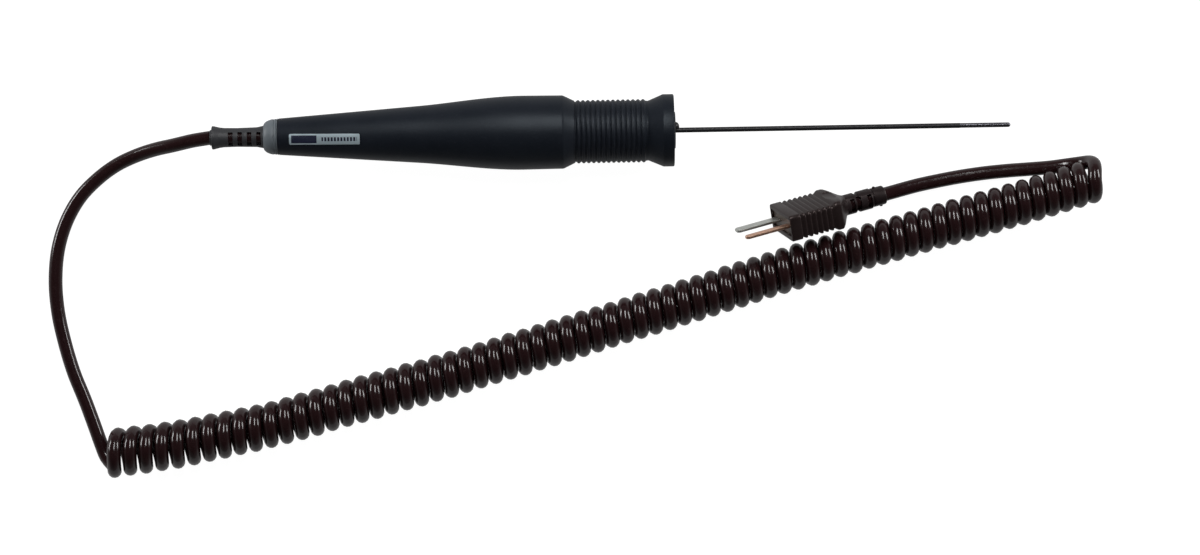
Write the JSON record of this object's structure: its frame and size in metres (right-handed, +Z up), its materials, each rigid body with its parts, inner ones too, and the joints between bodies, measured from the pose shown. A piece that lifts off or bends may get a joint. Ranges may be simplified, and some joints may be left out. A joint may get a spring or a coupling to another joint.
{
  "type": "thermocouple",
  "caption": "Hand-held penetration thermocouple: moulded handle with a thin straight stem, curly cord and two-blade miniature plug.",
  "frame": {"origin": "centre of the probe (handle and stem) in plan, on the surface under the widest ring of the handle", "axes": "+X along the probe from the cord end to the stem tip, +Z up, +Y to the left of the tip"},
  "size_m": [0.3165, 0.1122, 0.022],
  "materials": {
    "handle_polymer": "satin moulded polymer, navy black",
    "bush_polymer": "satin moulded polymer",
    "cap_polymer": "satin moulded polymer, grey green",
    "boot_rubber": "soft moulded rubber",
    "label_foil": null,
    "adhesive": "cured adhesive",
    "stem_coating": "thin dark coating",
    "sheath_steel": "drawn stainless tube",
    "magnesia": "compacted mineral powder",
    "copper": "bare copper",
    "constantan": "bare copper-nickel alloy",
    "junction_weld": "welded bead",
    "pot_steel": "turned stainless tube",
    "pot_resin": "cast resin",
    "tinned_metal": "tinned copper",
    "sleeve_polymer": "woven glass sleeve set in resin",
    "core_brown": "brown core insulation",
    "core_white": "white core insulation",
    "anchor_brass": "turned brass",
    "cord_jacket": "glossy extruded polyurethane, dark brown",
    "plug_polymer": "satin moulded polymer, brown black",
    "neck_polymer": "soft moulded strain relief",
    "carrier_polymer": "glass-filled moulded insert"
  },
  "bodies": {
    "root": {"handle_body": "handle_polymer", "grip_nose": "handle_polymer", "nose_bush": "bush_polymer", "stem_bead": "adhesive", "rear_cap": "cap_polymer", "cable_boot": "boot_rubber", "identification_label": "label_foil", "transition_pot": "pot_steel", "pot_resin": "pot_resin", "stem_coating": "stem_coating", "stem_sheath": "sheath_steel", "mineral_insulation": "magnesia", "copper_thermoelement": "copper", "constantan_thermoelement": "constantan", "hot_junction": "junction_weld", "splice_sleeves": "tinned_metal", "splice_insulator": "sleeve_polymer", "copper_conductor": "copper", "constantan_conductor": "constantan", "copper_core_insulation": "core_brown", "constantan_core_insulation": "core_white", "cable_anchor": "anchor_brass", "lead_jacket_end": "cord_jacket", "lead_cord": "cord_jacket", "curly_cord": "cord_jacket", "tail_cord": "cord_jacket", "tail_jacket_end": "cord_jacket", "plug_body": "plug_polymer", "plug_neck": "neck_polymer", "plug_carrier": "carrier_polymer", "plug_blade_copper": "copper", "plug_blade_constantan": "constantan", "plug_blade_pins": "tinned_metal", "plug_copper_wire": "core_brown", "plug_constantan_wire": "core_white", "plug_wire_crimps": "tinned_metal"}
  },
  "joints": []
}
